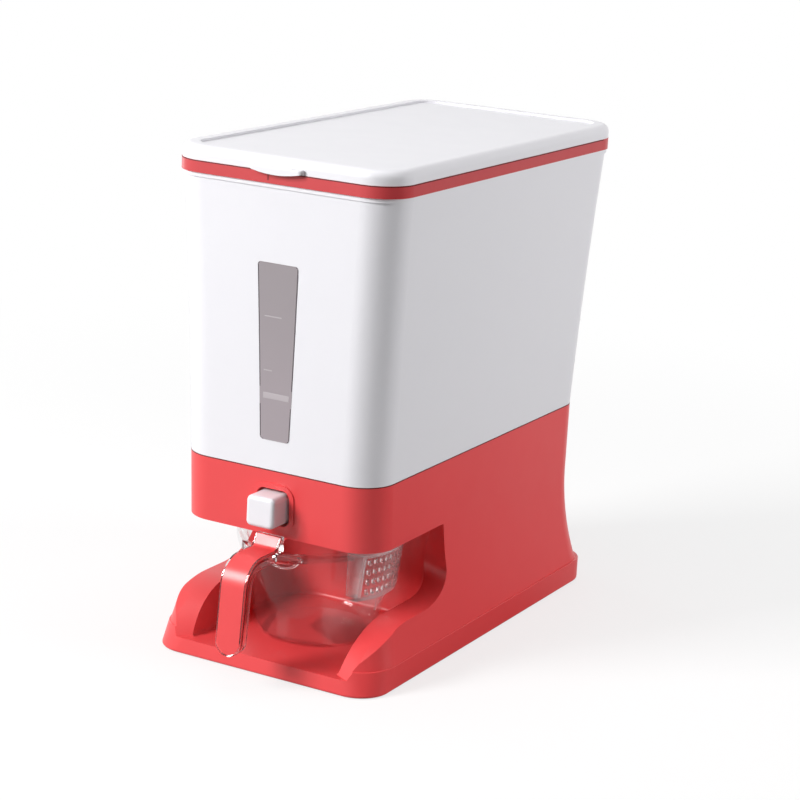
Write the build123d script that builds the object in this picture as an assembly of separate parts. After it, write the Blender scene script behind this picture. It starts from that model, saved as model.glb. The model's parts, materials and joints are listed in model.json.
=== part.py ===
from build123d import *
import os
from math import acos, cos, degrees, radians, sin

# A rice dispenser: a red base with a cup bay, a white tank over it, a hinged lid, a push button that
# slides a gate under the hopper, and a clear cup that pulls out of the bay.
# Sizes are in millimetres. X is across, Y runs back, Z is up. The origin is on the floor under the
# middle of the body, and the front faces -Y.

# Overall sizes
WIDTH = 188.0                      # over the plinth
DEPTH = 358.0                      # over the collar, front to back
HEIGHT = 373.0                     # floor to lid
WALL = 2.6
CLEAR = 0.2                        # between pieces that slot together and stay put
TONGUE_GAP = 0.6                   # the head leans a little inside the tank's tongue
FRONT = -DEPTH / 2

# Base: the walls draw in on an arc from the plinth up to the head, which overhangs the cup bay
PLINTH_TOP = 17.5
PLINTH_BACK = -FRONT - 0.5
PLINTH_CORNER = 28.0               # at the back
PLINTH_TOE = 31.0                  # at the front, on top
PLINTH_FOOT = 23.0                 # at the front, on the floor
PLINTH_LEAN = 2.5                  # the front leans back by this much
PLINTH_TAPER = 0.8                 # and the top draws in at the front by this much each side
PLINTH_EDGE = 0.5
FOOT_EDGE = 1.5
LEDGE = 1.4                        # the plinth stands out past the wall by this at the sides and back
FRONT_LEDGE = 0.6                  # and by this much at the front
HEAD_Z = 100.8                     # underside of the head
HEAD_HEIGHT = 48.8
HEAD_HALF = WIDTH / 2 - 11.6
HEAD_FRONT = FRONT + 14.0
HEAD_BACK = -FRONT - 15.5
HEAD_CORNER = 26.0
SWEEP_RISE = HEAD_Z - PLINTH_TOP
SIDE_SPREAD = WIDTH / 2 - LEDGE - HEAD_HALF          # how far the walls draw in on the way up
FRONT_SPREAD = HEAD_FRONT - FRONT - PLINTH_LEAN - FRONT_LEDGE
BACK_SPREAD = PLINTH_BACK - LEDGE - HEAD_BACK
SEAM_Z = HEAD_Z + HEAD_HEIGHT      # where the base stops and the tank starts
SEAM_HALF = HEAD_HALF - 0.2
SEAM_FRONT = HEAD_FRONT - 3.3
SEAM_BACK = HEAD_BACK + 0.1
LEDGE_WIDTH = 9.0                  # inner ledge that carries the tank
LEDGE_TOP = SEAM_Z - 6.0

# Cup bay: a pocket with its own floor and back wall, open at the front and at both sides
TRAY_Z = 11.5
BAY_HALF_HIGH = HEAD_HALF - 9.0
BAY_HALF_LOW = BAY_HALF_HIGH - 11.4
CUP_RIM_R = BAY_HALF_LOW - 0.5
CUP_Y = HEAD_FRONT + CUP_RIM_R + 4.5
BAY_BACK_LOW = CUP_Y + CUP_RIM_R + 1.5
BAY_BACK_HIGH = BAY_BACK_LOW + 8.0
BAY_CORNER_LOW = 34.0
BAY_CORNER_HIGH = 42.0
BAY_FLOOR_FILLET = 3.0
BAY_MOUTH = FRONT - 56.0           # the pocket runs out past the front

# Side openings of the bay. Their back is a scoop that leans out from the bay's corner to the skin,
# and their sill is level, then falls to the front on an arc. Each is cut through three side views,
# at these distances from the middle.
SCOOP_IN = BAY_HALF_LOW - 6.0
SCOOP_MID = HEAD_HALF - 4.4
SCOOP_OUT = HEAD_HALF + 5.6
SCOOP_IN_BACK = (BAY_BACK_LOW - 0.6, BAY_BACK_LOW - 6.0)      # at the top and at the bend
SCOOP_OUT_BACK = (BAY_BACK_LOW - 32.8, BAY_BACK_LOW - 23.2)
BEND_RUN = 35.0
BEND_RISE = 20.5
CHEEK_Z = 43.4                     # height of the low side walls
CHEEK_CREST = FRONT + 61.0         # where their tops start to fall
CHEEK_IN_R = 54.3
CHEEK_OUT_R = 75.0

# Tank: slightly curved walls that flare to the collar
RIM_Z = HEIGHT - 19.0
RIM_HALF = WIDTH / 2 - 4.0
RIM_BACK = DEPTH / 2 - 2.0
RIM_FRONT = -RIM_BACK
RIM_CORNER = 26.0
RIM_LIP = 3.0
RIM_OUT = 0.8
FLARE = 0.53                       # share of the flare that is straight, the rest curves outwards

# Window in the front of the tank
WINDOW_LOW = SEAM_Z + 25.4
WINDOW_HIGH = WINDOW_LOW + 120.0
WINDOW_LOW_HALF = 12.0
WINDOW_HIGH_HALF = 16.5
WINDOW_CORNER = 2.5
WINDOW_LIP = 4.0
WINDOW_SUNK = 0.6
WINDOW_LIP_T = 1.4
MARKS = 6
MARK_HALF = 6.0
MARK_T = 0.4

# Collar and lid
COLLAR_TOP = HEIGHT - 10.4
COLLAR_HALF = RIM_HALF + 1.0
COLLAR_END = DEPTH / 2
COLLAR_CORNER = RIM_CORNER
MOUTH_HALF = RIM_HALF - 5.0
MOUTH_END = RIM_BACK - 5.0
MOUTH_CORNER = RIM_CORNER - 6.0
COLLAR_SKIRT = 7.0
LID_EDGE = 6.0
LID_RIM = 12.0
LID_RECESS = 1.8
PLUG_DROP = 7.0
PLUG_GAP = 0.6
GROOVE = 1.1                       # depth of the plug's groove
SEAL_GAP = 0.3
SEAL_HEIGHT = 3.0
TAB_HALF = 21.0
TAB_OUT = 4.5
TAB_RISE = 3.8                     # over the collar's top, at the tab's upper face
TAB_DROP = 1.7                     # below it, at the middle of the curved lower edge
TAB_BOW = 2.6                      # the lower edge rises to the ends by this much
TAB_CORNER = 3.0
TAB_EDGE = 1.0
OPEN_TURN = 100.0                  # the lid's swing, in degrees
HINGE_R = 3.6                      # the lid's back edge is rounded about the hinge axis
HINGE_Y = COLLAR_END - HINGE_R
HINGE_Z = COLLAR_TOP + HINGE_R
HINGE_X = 45.0
EAR_HALF = 4.6
PIN_R = 1.25
PIN_HALF = 11.0
PIN_FIT = 0.05

# Push button
BUTTON_Z = HEAD_Z + 21.7
BUTTON_W = 23.0
BUTTON_H = 22.6
BUTTON_FRONT = FRONT - 6.0
BUTTON_BACK = FRONT + 24.0
BUTTON_CORNER = 4.0
BUTTON_EDGE = 3.0
BUTTON_SKIRT_T = 1.5
SLEEVE_GAP = 2.1
BEZEL = 0.9                        # height of the raised frame round the button's opening
BEZEL_WIDTH = 3.6
SLEEVE_BACK = BUTTON_BACK - 0.5
TRAVEL = 16.0                      # the button's and the gate's

# Hopper, gate and chute. Rice falls through a slot that the gate's aperture uncovers.
SLOT_Y = CUP_Y - 5.0
SLOT_HALF_X = 22.0
SLOT_HALF_Y = 7.0
HOPPER_FRONT_Z = WINDOW_LOW - 7.0  # the hopper's rim slopes up to the back, below the window
HOPPER_BACK_Z = HOPPER_FRONT_Z + 68.0
HOPPER_WALL = 2.0
HOPPER_GAP = 0.4                   # from the tank's wall
GATE_Z = BUTTON_Z - 4.5
GATE_T = 3.0
GATE_HALF = 26.0
GATE_FRONT = BUTTON_BACK + 5.0
TONGUE_HALF = 8.0
TONGUE_FRONT = BUTTON_FRONT + 11.0
SLIDE_GAP = 0.15
FRAME_FRONT = BUTTON_BACK + TRAVEL + 3.0
FRAME_STOP = SLOT_Y + 18.0         # the gate's tail rests here
FRAME_BACK = SLOT_Y + 56.0
FRAME_HALF = 31.0
FRAME_WALL = 4.0
FRAME_COLLAR = 6.0
FRAME_EAR_T = 3.0
PLATE_T = 2.8
FRAME_LOW = GATE_Z - PLATE_T
FRAME_HIGH = GATE_Z + GATE_T + SLIDE_GAP + PLATE_T
NECK_TOP = FRAME_HIGH + FRAME_COLLAR + 6.0
NECK_CORNER = 2.5
NECK_HALF_X = SLOT_HALF_X + HOPPER_WALL + 0.1   # the space round the hopper's neck
NECK_HALF_Y = SLOT_HALF_Y + HOPPER_WALL + 0.1
TAIL_LENGTH = 6.0
TAIL_RISE = 4.5
ROD_R = 2.5
ROD_FIT = 0.05
ROD_PAST = 6.0
SPRING_WIRE = 0.5                  # radius
SPRING_R = 4.0
SPRING_TURNS = 7
SCREW_R = 1.5
SCREW_HEAD_R = 3.0
SCREW_HEAD = 1.8
BOSS_R = 4.0
SPOUT_WALL = 2.0
SPOUT_IN = 5.0                     # the spout narrows by this much at each end
CHUTE_FLANGE = 7.0
CHUTE_LOW = HEAD_Z - 3.8

# Cup: a clear bowl with a rim that reaches forward to the handle, and a drilled strainer at one side
CUP_HIGH_R = CUP_RIM_R - 5.5
CUP_MID_R = CUP_RIM_R - 11.0
CUP_LOW_R = CUP_RIM_R - 14.5
CUP_FOOT_R = CUP_LOW_R - 7.0
CUP_HEEL_Z = TRAY_Z + 8.5
CUP_MID_Z = TRAY_Z + 34.5
CUP_RIM_LOW = HEAD_Z - 16.3
CUP_RIM_HIGH = HEAD_Z - 9.8
CUP_WALL = 2.0
POD_Z = CUP_RIM_LOW - 33.0
POD_HALF = 29.5
POD_DRAFT = 3.5                    # its round wall draws in by this much down to its floor
POD_WALL = 1.6
POD_IN = 30.0
STRAINER_EDGE = 2.6                # clear pod wall beside the strainer
STRAINER_FOOT = 2.4                # and below it
STRAINER_LAP = 1.2
STRAINER_ROWS = 4
STRAINER_COLUMNS = 9
STRAINER_SPAN = 45.0               # degrees
HOLE_W = 2.6
HOLE_H = 4.6
ROOT_Y = HEAD_FRONT - 11.0
HANDLE_HALF = 10.5
HANDLE_TOP = HEAD_Z - 6.6
HANDLE_LIP = HEAD_Z + 1.7
HANDLE_BEND = 21.0
LIP_BEND = 4.0
LIP_LEAN = 4.5
HANDLE_BACK = HEAD_FRONT - 6.5
HANDLE_FRONT_HIGH = HEAD_FRONT - 49.0
HANDLE_FRONT_LOW = HEAD_FRONT - 55.0
HANDLE_LOW = 26.0
HANDLE_DEPTH = 8.0
GRIP_HALF = 9.2
GRIP_T = 2.2

# Underside
PLATE_BOTTOM_T = 2.5
PAD_R = 9.0
PAD_T = 1.4
PAD_X = WIDTH / 2 - 26.0
PAD_Y = (FRONT + 39.0, -FRONT - 34.0)
TRAY_POST_X = BAY_HALF_LOW - 17.0
TRAY_POST_Y = (FRONT + 29.0, BAY_BACK_LOW - 24.0)
REAR_POST = (HEAD_HALF - 12.4, -FRONT - 59.0)
REAR_POST_TOP = 45.0
REAR_WEB_TOP = 40.0
SCREW_DEPTH = 16.0


def plan(z, half, front, back, corner):
    """A rounded rectangle lying level at height z."""
    return Pos(0, (front + back) / 2, z) * RectangleRounded(2 * half, back - front, corner)


def block(x0, x1, y0, y1, z0, z1):
    """An upright box from its corner values."""
    return Pos((x0 + x1) / 2, (y0 + y1) / 2, (z0 + z1) / 2) * Box(x1 - x0, y1 - y0, z1 - z0)


def post(x, y, z0, z1, radius):
    """An upright cylinder."""
    return Pos(x, y, (z0 + z1) / 2) * Cylinder(radius, z1 - z0)


def across(radius, x0, x1, y, z):
    """A cylinder lying along X."""
    return Pos((x0 + x1) / 2, y, z) * Rot(0, 90, 0) * Cylinder(radius, x1 - x0)


def along(radius, y0, y1, z):
    """A cylinder lying along Y on the middle plane."""
    return Pos(0, (y0 + y1) / 2, z) * Rot(90, 0, 0) * Cylinder(radius, y1 - y0)


def slot_block(half_x, half_y, z0, z1):
    """A box round the line that the rice falls down."""
    return block(-half_x, half_x, SLOT_Y - half_y, SLOT_Y + half_y, z0, z1)


def ring(z0, z1, outer, inner):
    """A level ring between two outlines, each (half width, front, back, corner)."""
    return extrude(plan(z0, *outer), z1 - z0) - extrude(plan(z0, *inner), z1 - z0)


def grown(outline, amount):
    """An outline with all four sides moved out, or in where the amount is negative."""
    half, front, back, corner = outline
    return half + amount, front - amount, back + amount, corner + amount


def spread(low, high, steps):
    """Evenly spaced values from low to high, both included."""
    return [low + (high - low) * i / steps for i in range(steps + 1)]


def tapered_plan(plane, front, back):
    """A rounded four-sided outline from its front and back edges, each (y, half width, corner)."""
    (front_y, front_half, front_corner), (back_y, back_half, back_corner) = front, back
    with BuildSketch(plane) as sketch:
        with BuildLine():
            Polyline((-front_half, front_y), (front_half, front_y), (back_half, back_y), (-back_half, back_y),
                     close=True)
        make_face()
        fillet(sketch.vertices().group_by(Axis.Y)[0], front_corner)
        fillet(sketch.vertices().group_by(Axis.Y)[-1], back_corner)
    return sketch.sketch


def base_outline(z, inset=0.0):
    """The base's outer wall at a height below the head."""
    drop = (HEAD_Z - z) / SWEEP_RISE
    half = HEAD_HALF + SIDE_SPREAD * drop ** 2
    front = HEAD_FRONT - FRONT_SPREAD * drop ** 2
    back = HEAD_BACK + BACK_SPREAD * drop ** 2
    corner = HEAD_CORNER + (PLINTH_TOE - HEAD_CORNER) * drop
    return grown((half, front, back, corner), -inset)


def seam_outline(inset=0.0):
    """The outline shared by the head and the tank where they meet."""
    return grown((SEAM_HALF, SEAM_FRONT, SEAM_BACK, HEAD_CORNER), -inset)


def tank_outline(z, inset=0.0):
    """The tank's outer wall at a height. It flares a little faster towards the rim."""
    rise = (z - SEAM_Z) / (RIM_Z - SEAM_Z)
    flare = FLARE * rise + (1 - FLARE) * rise ** 2
    half = SEAM_HALF + (RIM_HALF - SEAM_HALF) * flare
    front = SEAM_FRONT + (RIM_FRONT - SEAM_FRONT) * flare
    back = SEAM_BACK + (RIM_BACK - SEAM_BACK) * (rise + flare) / 2
    corner = HEAD_CORNER + (RIM_CORNER - HEAD_CORNER) * rise
    return grown((half, front, back, corner), -inset)


def mouth_outline(grow=0.0):
    """The opening inside the collar."""
    return grown((MOUTH_HALF, -MOUTH_END, MOUTH_END, MOUTH_CORNER), grow)


def base_body(inset=0.0):
    """The base's walls as a solid: an arc up to the head, then the head itself."""
    skirt = loft([plan(z, *base_outline(z, inset)) for z in spread(PLINTH_TOP, HEAD_Z, 4)])
    head = loft([plan(HEAD_Z, *base_outline(HEAD_Z, inset)), plan(SEAM_Z, *seam_outline(inset))], ruled=True)
    return skirt + head


def cheek_face(x, radius, grow):
    """Side view of a side opening, on a plane across X.

    It runs down the back, round a bend, forward along the level sill, down an arc to the tray's
    level and out past the front.
    """
    share = (x - SCOOP_IN) / (SCOOP_OUT - SCOOP_IN)
    back_high, back_low = [inner + (outer - inner) * share + grow
                           for inner, outer in zip(SCOOP_IN_BACK, SCOOP_OUT_BACK)]
    bend = (back_low - grow - BEND_RUN, CHEEK_Z + BEND_RISE)
    top, sill, level = HEAD_Z + grow, CHEEK_Z - grow, TRAY_Z - grow
    fall = degrees(acos((level - CHEEK_Z + radius) / (radius - grow)))
    with BuildSketch(Plane(origin=(x, 0, 0), x_dir=(0, 1, 0), z_dir=(1, 0, 0))) as sketch:
        with BuildLine():
            Line((BAY_MOUTH, top), (back_high, top))
            Line((back_high, top), (back_low, bend[1]))
            EllipticalCenterArc(bend, BEND_RUN + grow, BEND_RISE + grow, start_angle=270, arc_size=90)
            Line((bend[0], sill), (CHEEK_CREST, sill))
            arc = CenterArc((CHEEK_CREST, CHEEK_Z - radius), radius - grow, 90, fall)
            Line(arc @ 1, (BAY_MOUTH, level))
            Line((BAY_MOUTH, level), (BAY_MOUTH, top))
        make_face()
    return sketch.sketch


def bay(grow=0.0):
    """The space of the cup bay. Grown by a wall it is the block that the bay's walls are cut from."""
    low = plan(TRAY_Z - grow, BAY_HALF_LOW + grow, BAY_MOUTH, BAY_BACK_LOW + grow, BAY_CORNER_LOW)
    high = plan(HEAD_Z + grow, BAY_HALF_HIGH + grow, BAY_MOUTH, BAY_BACK_HIGH + grow, BAY_CORNER_HIGH)
    pocket = loft([low, high], ruled=True)
    floor_edges = pocket.faces().sort_by(Axis.Z)[0].edges()
    pocket = fillet(floor_edges, BAY_FLOOR_FILLET + grow)
    inner = cheek_face(SCOOP_IN, CHEEK_IN_R, grow)
    middle = cheek_face(SCOOP_MID, CHEEK_OUT_R, grow)
    outer = cheek_face(SCOOP_OUT, CHEEK_OUT_R, grow)
    side = loft([inner, middle, outer], ruled=True) + extrude(outer, WIDTH / 2 - SCOOP_OUT + 10)
    return pocket + side + mirror(side, Plane.YZ)


def make_plinth():
    """The plinth: its front leans back and its front corners flare out to the floor."""
    back = (PLINTH_BACK, WIDTH / 2, PLINTH_CORNER)
    foot = tapered_plan(Plane.XY, (FRONT, WIDTH / 2, PLINTH_FOOT), back)
    toe = (FRONT + PLINTH_LEAN, WIDTH / 2 - PLINTH_TAPER, PLINTH_TOE)
    top = tapered_plan(Plane.XY.offset(PLINTH_TOP), toe, back)
    plinth = loft([foot, top], ruled=True)
    plinth = fillet(plinth.faces().sort_by(Axis.Z)[-1].edges(), PLINTH_EDGE)
    return fillet(plinth.faces().sort_by(Axis.Z)[0].edges(), FOOT_EDGE)


def button_prism(extra, y0, y1):
    """The button's rounded outline, grown by a margin and run from y0 back to y1."""
    face = RectangleRounded(BUTTON_W + 2 * extra, BUTTON_H + 2 * extra, BUTTON_CORNER + extra)
    plane = Plane(origin=(0, y0, BUTTON_Z), x_dir=(1, 0, 0), z_dir=(0, 1, 0))
    return extrude(plane * face, y1 - y0)


def frame_screw_places():
    """Where the four screws of the gate frame stand."""
    return [(x, y) for x in (-FRAME_HALF - 9, FRAME_HALF + 9) for y in (FRAME_FRONT + 8, FRAME_BACK - 12)]


def plate_screw_places():
    """Where the six screws of the bottom cover stand: four under the tray and two at the back."""
    under_tray = [(x, y) for x in (-TRAY_POST_X, TRAY_POST_X) for y in TRAY_POST_Y]
    return under_tray + [(-REAR_POST[0], REAR_POST[1]), REAR_POST]


def rear_post():
    """A screw post behind the bay, tied to the side wall by a web."""
    x, y = REAR_POST
    wall = base_outline(REAR_WEB_TOP)[0] - WALL / 2
    web = block(x, wall, y - 1, y + 1, PLATE_BOTTOM_T, REAR_WEB_TOP)
    return post(x, y, PLATE_BOTTOM_T, REAR_POST_TOP, BOSS_R) + web


def make_base():
    """Red base: plinth, swept walls, head with the button's opening, and the cup bay."""
    bezel = base_body(-BEZEL) & button_prism(SLEEVE_GAP + BEZEL_WIDTH, BUTTON_FRONT, SEAM_FRONT + WALL)
    outer = make_plinth() + base_body() + bezel
    hollow = base_body(WALL)
    hollow += extrude(plan(0, *base_outline(PLINTH_TOP, WALL)), PLINTH_TOP)
    hollow += extrude(plan(SEAM_Z, *seam_outline(WALL)), 1)
    body = outer - (hollow - bay(WALL)) - bay()
    body += ring(LEDGE_TOP - WALL, LEDGE_TOP, seam_outline(WALL / 2), seam_outline(LEDGE_WIDTH))
    body += button_prism(SLEEVE_GAP + 2, SEAM_FRONT + WALL, SLEEVE_BACK)
    body -= button_prism(SLEEVE_GAP, BUTTON_FRONT, SLEEVE_BACK)
    for x, y in frame_screw_places():
        body += post(x, y, HEAD_Z, FRAME_LOW, BOSS_R)
        body -= post(x, y, HEAD_Z + WALL, FRAME_LOW, SCREW_R)
    body += rear_post() + mirror(rear_post(), Plane.YZ)
    for x, y in plate_screw_places():
        under_tray = y < REAR_POST[1]
        if under_tray:
            body += post(x, y, PLATE_BOTTOM_T, TRAY_Z - WALL / 2, BOSS_R)
        body -= post(x, y, PLATE_BOTTOM_T, TRAY_Z - WALL - 1 if under_tray else SCREW_DEPTH, SCREW_R)
    return body - slot_block(SLOT_HALF_X + 3.2, SLOT_HALF_Y + 3.2, HEAD_Z, HEAD_Z + WALL)


def make_base_plate():
    """Flat cover screwed under the base. Its underside is what the dispenser stands on."""
    plate = extrude(plan(0, *base_outline(PLINTH_TOP, WALL + CLEAR)), PLATE_BOTTOM_T)
    for x, y in plate_screw_places():
        plate -= post(x, y, 0, PLATE_BOTTOM_T, SCREW_R + CLEAR)
        plate -= post(x, y, 0, SCREW_HEAD, SCREW_HEAD_R + CLEAR)
    for x, y in pad_places():
        plate -= post(x, y, 0, PAD_T, PAD_R)
    return plate


def pad_places():
    """Where the four pads sit."""
    return [(x, y) for x in (-PAD_X, PAD_X) for y in PAD_Y]


def make_plate_screws():
    """The six countersunk screws of the bottom cover."""
    screws = []
    for x, y in plate_screw_places():
        top = TRAY_Z - WALL - 1.4 if y < REAR_POST[1] else SCREW_DEPTH - 2
        screws.append(post(x, y, CLEAR, SCREW_HEAD, SCREW_HEAD_R) + post(x, y, SCREW_HEAD, top, SCREW_R))
    return Compound(screws)


def make_tank():
    """White tank: flared walls, a rim lip, an inner step and a tongue that drops into the head."""
    heights = spread(SEAM_Z, RIM_Z, 4)
    outer = loft([plan(z, *tank_outline(z)) for z in heights])
    outer += extrude(plan(RIM_Z - RIM_LIP, *grown(tank_outline(RIM_Z), RIM_OUT)), RIM_LIP)
    inner = loft([plan(z, *tank_outline(z, WALL)) for z in heights])
    outside = seam_outline(WALL + TONGUE_GAP)
    inside = seam_outline(2 * WALL + TONGUE_GAP)
    step = ring(SEAM_Z, SEAM_Z + WALL, seam_outline(WALL / 2), inside)
    tongue = ring(LEDGE_TOP, SEAM_Z, outside, inside)
    foot = ring(LEDGE_TOP, LEDGE_TOP + WALL, outside, seam_outline(LEDGE_WIDTH))
    return outer - inner + step + tongue + foot - window_prism(CLEAR / 2)


def window_prism(grow):
    """The window's tapered outline, run through the front wall."""
    low, high = WINDOW_LOW - grow, WINDOW_HIGH + grow
    low_half, high_half = WINDOW_LOW_HALF + grow, WINDOW_HIGH_HALF + grow
    with BuildSketch(Plane.XZ.offset(-SEAM_FRONT - 30)) as sketch:
        with BuildLine():
            Polyline((-low_half, low), (low_half, low), (high_half, high), (-high_half, high), close=True)
        make_face()
        fillet(sketch.vertices(), WINDOW_CORNER + grow)
    return extrude(sketch.sketch, 60)


def tank_skin(depth0, depth1):
    """A layer of the tank's wall, between two depths in from its outer face."""
    heights = spread(WINDOW_LOW - 12, WINDOW_HIGH + 12, 3)
    return (loft([plan(z, *tank_outline(z, depth0)) for z in heights])
            - loft([plan(z, *tank_outline(z, depth1)) for z in heights]))


def make_window():
    """Smoke-grey lens with a lip behind the wall and raised level marks on its back."""
    back = WALL + WINDOW_LIP_T
    window = tank_skin(WINDOW_SUNK, WALL) & window_prism(0)
    window += tank_skin(WALL, back) & window_prism(WINDOW_LIP)
    marks = tank_skin(back, back + MARK_T)
    for z in spread(WINDOW_LOW, WINDOW_HIGH, MARKS + 1)[1:-1]:
        window += marks & block(-MARK_HALF, MARK_HALF, RIM_FRONT, SEAM_FRONT + 30, z - 0.5, z + 0.5)
    return window


def make_collar():
    """Red ring over the tank's rim, with a skirt inside the tank and two hinge ears at the back."""
    collar = ring(RIM_Z, COLLAR_TOP, (COLLAR_HALF, -COLLAR_END, COLLAR_END, COLLAR_CORNER), mouth_outline())
    skirt_z = RIM_Z - COLLAR_SKIRT
    collar += ring(skirt_z, RIM_Z, tank_outline(skirt_z, WALL + CLEAR), mouth_outline())
    for x in (-HINGE_X, HINGE_X):
        collar += hinge_ear(x)
    return collar


def hinge_ear(x):
    """An upright ear with a round top and a hole for the hinge pin."""
    radius = HINGE_R - 2 * CLEAR
    ear = block(x - EAR_HALF, x + EAR_HALF, HINGE_Y - radius, HINGE_Y + radius, COLLAR_TOP - 2, HINGE_Z)
    ear += across(radius, x - EAR_HALF, x + EAR_HALF, HINGE_Y, HINGE_Z)
    return ear - across(PIN_R + PIN_FIT, x - EAR_HALF, x + EAR_HALF, HINGE_Y, HINGE_Z)


def make_lid():
    """White lid: raised rim round a sunk panel, a thumb tab, a plug inside the mouth, hinge blocks."""
    outline = (COLLAR_HALF - CLEAR, -COLLAR_END + CLEAR, COLLAR_END, COLLAR_CORNER)
    lid = extrude(plan(COLLAR_TOP, *outline), HEIGHT - COLLAR_TOP)
    lid = fillet(lid.faces().sort_by(Axis.Z)[-1].edges(), LID_EDGE)
    lid -= extrude(plan(HEIGHT - LID_RECESS, *grown(outline, -LID_RIM)), LID_RECESS)
    under = HEIGHT - LID_RECESS - WALL
    lid -= extrude(plan(COLLAR_TOP, *grown(outline, -WALL)), under - COLLAR_TOP)
    plug = ring(COLLAR_TOP - PLUG_DROP, under, mouth_outline(-PLUG_GAP), mouth_outline(-PLUG_GAP - WALL))
    plug -= ring(*seal_span(), mouth_outline(1), mouth_outline(-PLUG_GAP - GROOVE))
    lid += plug + make_tab()
    knuckle = block(-PIN_HALF - 2, PIN_HALF + 2, MOUTH_END - 1, COLLAR_END - 0.5, COLLAR_TOP, under)
    for x in (-HINGE_X, HINGE_X):
        lid += Pos(x, 0, 0) * knuckle
    lid -= swing_space()
    for x in (-HINGE_X, HINGE_X):
        lid -= block(x - EAR_HALF - 2 * CLEAR, x + EAR_HALF + 2 * CLEAR, HINGE_Y - HINGE_R, COLLAR_END + 1,
                     COLLAR_TOP - 1, HINGE_Z + HINGE_R + 3 * CLEAR)
        lid -= across(PIN_R, x - PIN_HALF, x + PIN_HALF, HINGE_Y, HINGE_Z)
    return lid


def swing_space():
    """What is cut from the lid's back edge so that it clears the collar over the whole swing.

    Below the hinge axis the edge is round. Above it the edge leans forward by the swing past upright.
    """
    radius = HINGE_R - CLEAR
    below = block(-WIDTH, WIDTH, HINGE_Y, COLLAR_END + 1, COLLAR_TOP - 1, HINGE_Z)
    below -= across(radius, -WIDTH, WIDTH, HINGE_Y, HINGE_Z)
    behind = Rot(OPEN_TURN - 90, 0, 0) * block(-WIDTH, WIDTH, radius, radius + 10, -1, 2 * (HEIGHT - HINGE_Z))
    return below + Pos(0, HINGE_Y, HINGE_Z) * behind


def seal_span():
    """The lowest and highest level of the lid's seal."""
    low = COLLAR_TOP - PLUG_DROP + 1.5
    return low, low + SEAL_HEIGHT


def make_tab():
    """Thumb tab on the lid's front edge, with a lower edge that bows down over the collar."""
    front = -COLLAR_END - TAB_OUT
    top = COLLAR_TOP + TAB_RISE
    low = COLLAR_TOP - TAB_DROP
    with BuildSketch(Plane.XZ.offset(-front)) as sketch:
        with BuildLine():
            Line((-TAB_HALF, low + TAB_BOW), (-TAB_HALF, top))
            Line((-TAB_HALF, top), (TAB_HALF, top))
            Line((TAB_HALF, top), (TAB_HALF, low + TAB_BOW))
            ThreePointArc((TAB_HALF, low + TAB_BOW), (0, low), (-TAB_HALF, low + TAB_BOW))
        make_face()
    tab = extrude(sketch.sketch, -TAB_OUT - WALL)
    tab = fillet(tab.edges().filter_by(Axis.Z).group_by(Axis.Y)[0], TAB_CORNER)
    tab = fillet(tab.faces().sort_by(Axis.Z)[-1].edges().group_by(Axis.Y)[0], TAB_EDGE)
    return tab - block(-TAB_HALF, TAB_HALF, -COLLAR_END - 3 * CLEAR, -COLLAR_END + WALL, low, COLLAR_TOP)


def make_lid_seal():
    """Soft ring in the plug's groove."""
    return ring(*seal_span(), mouth_outline(-SEAL_GAP), mouth_outline(-PLUG_GAP - GROOVE))


def make_hinge_pins():
    """Two steel pins, pressed into the lid on both sides of each ear."""
    return Compound([across(PIN_R, x - PIN_HALF, x + PIN_HALF, HINGE_Y, HINGE_Z) for x in (-HINGE_X, HINGE_X)])


def funnel(inset):
    """The hopper's outer form, or its inside where the inset is its wall."""
    gap = WALL + HOPPER_GAP
    front_half, front_y = tank_outline(HOPPER_FRONT_Z, gap)[:2]
    back_half, _, back_y, corner = tank_outline(HOPPER_BACK_Z, gap)
    slope = Vector(0, back_y - front_y, HOPPER_BACK_Z - HOPPER_FRONT_Z)
    rim = Plane(origin=(0, front_y, HOPPER_FRONT_Z), x_dir=(1, 0, 0), z_dir=Vector(1, 0, 0).cross(slope))
    corner -= inset
    mouth = tapered_plan(rim, (inset, front_half - inset, corner),
                         (slope.length - inset, back_half - inset, corner))
    half_x = SLOT_HALF_X + HOPPER_WALL - inset
    half_y = SLOT_HALF_Y + HOPPER_WALL - inset
    neck = plan(NECK_TOP, half_x, SLOT_Y - half_y, SLOT_Y + half_y, NECK_CORNER - inset / 2)
    low = FRAME_HIGH + CLEAR
    throat = Pos(0, 0, low - NECK_TOP) * neck
    return loft([neck, mouth], ruled=True) + extrude(throat, NECK_TOP - low)


def make_hopper():
    """Funnel that wedges in the tank. Its rim slopes up to the back and its floor falls to the slot."""
    return funnel(0) - funnel(HOPPER_WALL)


def make_hopper_seal():
    """Soft square ring round the hopper's neck, on top of the frame's collar."""
    z = FRAME_HIGH + FRAME_COLLAR
    return (slot_block(SLOT_HALF_X + 5, SLOT_HALF_Y + 5, z, z + 3)
            - slot_block(NECK_HALF_X, NECK_HALF_Y, z, z + 3))


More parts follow.
